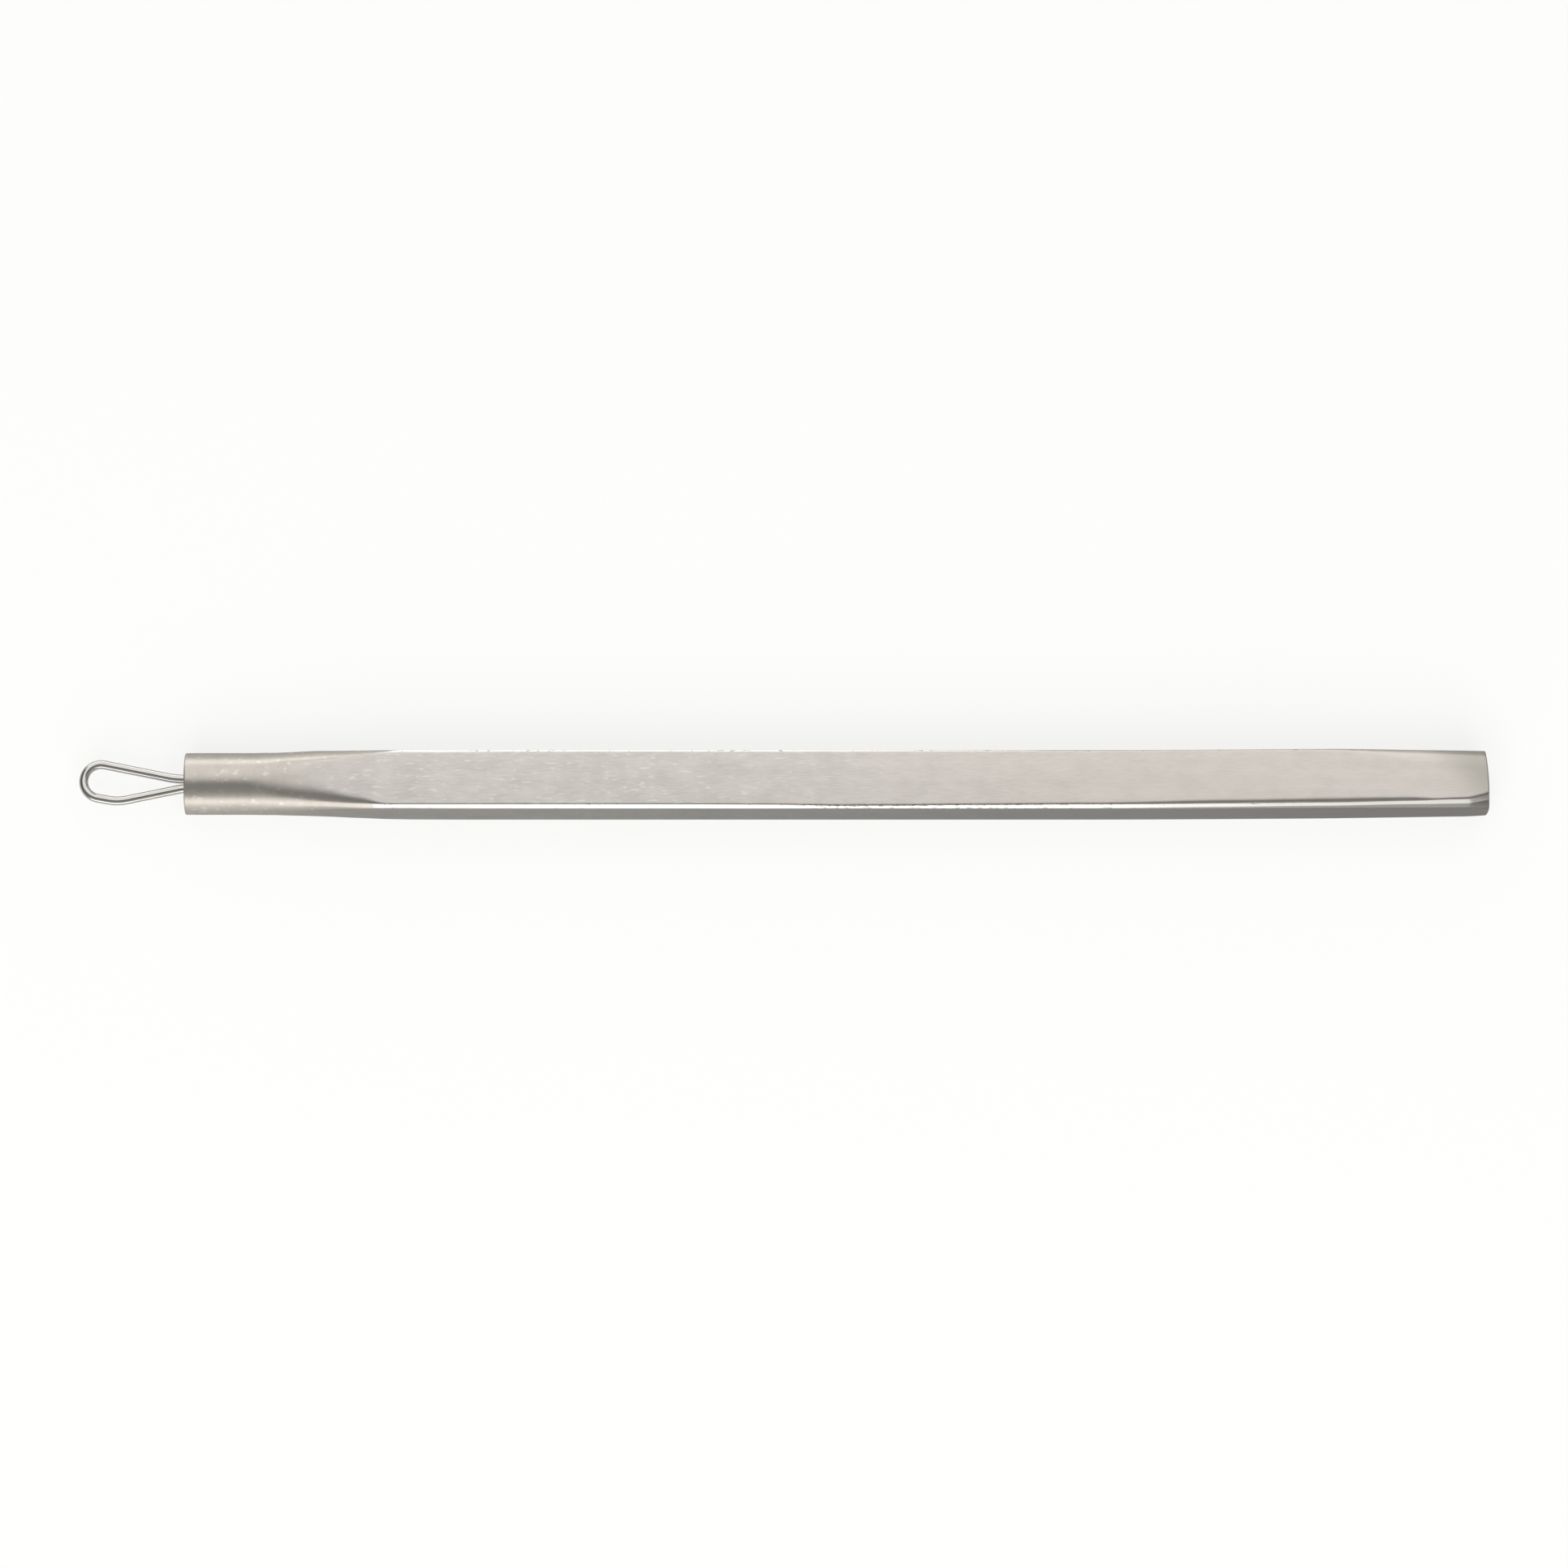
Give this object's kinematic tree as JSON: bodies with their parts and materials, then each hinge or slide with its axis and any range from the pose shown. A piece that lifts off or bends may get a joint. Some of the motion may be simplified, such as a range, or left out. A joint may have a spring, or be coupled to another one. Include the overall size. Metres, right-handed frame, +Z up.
{
  "type": "comedone extractor",
  "caption": "Hand instrument: a chamfered square steel handle turned down to a round nose, with a teardrop loop of round wire soldered into it for pressing out blackheads.",
  "frame": {"origin": "centre of the bounding box, at the level of its lowest point, with the tool lying on a flat of its handle", "axes": "+X along the handle from the loop to the butt, +Y across it to the back, +Z up, with the loop lying level"},
  "size_m": [0.1028, 0.0044, 0.0045],
  "materials": {
    "handle_steel": "satin brushed along the flats, polished corners",
    "wire_steel": "polished drawn wire",
    "hard_solder": "smooth silver solder"
  },
  "bodies": {
    "root": {"handle": "handle_steel", "wire_loop": "wire_steel", "solder_fill": "hard_solder"}
  },
  "joints": []
}
